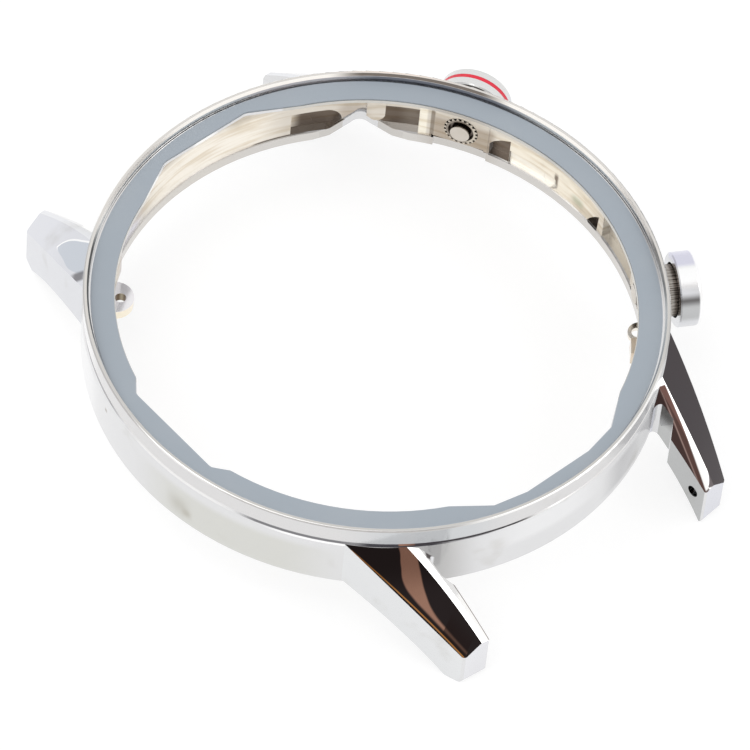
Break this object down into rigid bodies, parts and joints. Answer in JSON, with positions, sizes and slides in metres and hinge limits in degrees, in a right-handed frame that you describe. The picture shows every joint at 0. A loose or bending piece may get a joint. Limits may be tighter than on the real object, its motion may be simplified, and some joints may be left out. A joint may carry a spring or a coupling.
{
  "type": "smartwatch bezel ring",
  "caption": "Round smartwatch case ring with pressed-on bezel, adhesive film on the display ledge, four curved strap lugs and two sprung push buttons",
  "frame": {"origin": "on the ring's axis at the display seat, the top of the adhesive film", "axes": "+Z out of the display side, +Y to twelve o'clock, +X to three o'clock, the buttons' side"},
  "size_m": [0.0459, 0.0526, 0.0108],
  "materials": {
    "polished_steel": "machined steel, satin body with polished lugs and champagne inner wall",
    "bezel_steel": "polished steel ring",
    "film": "blue-grey double-sided film, satin",
    "cap_steel": "polished steel cap",
    "accent_red": "red anodised look",
    "turned_steel": "turned steel",
    "gasket_black": "black rubber",
    "spring_steel": "drawn spring wire",
    "washer_white": "white low-friction plastic",
    "clip_steel": "dark spring steel"
  },
  "bodies": {
    "case": {"case_frame": "polished_steel", "bezel_ring": "bezel_steel", "display_adhesive": "film", "upper_button_tube": "turned_steel", "upper_button_case_gasket": "gasket_black", "lower_button_tube": "turned_steel", "lower_button_case_gasket": "gasket_black"},
    "upper_button": {"upper_button_cap": "cap_steel", "upper_button_accent_ring": "accent_red", "upper_button_stem": "turned_steel", "upper_button_outer_seal": "gasket_black", "upper_button_inner_seal": "gasket_black", "upper_button_washer": "washer_white", "upper_button_clip": "clip_steel", "upper_button_spring": "spring_steel"},
    "lower_button": {"lower_button_cap": "cap_steel", "lower_button_stem": "turned_steel", "lower_button_outer_seal": "gasket_black", "lower_button_inner_seal": "gasket_black", "lower_button_washer": "washer_white", "lower_button_clip": "clip_steel", "lower_button_spring": "spring_steel"}
  },
  "joints": [
    {"name": "upper_button_press", "type": "slide", "parent": "case", "child": "upper_button", "axis": [-0.866, -0.5, 0], "range_m": [0, 0.0005], "stiffness_N_per_m": 400, "springref_m": -0.002, "deforming": ["upper_button_spring"]},
    {"name": "lower_button_press", "type": "slide", "parent": "case", "child": "lower_button", "axis": [-0.866, 0.5, 0], "range_m": [0, 0.0005], "stiffness_N_per_m": 400, "springref_m": -0.002, "deforming": ["lower_button_spring"]}
  ]
}
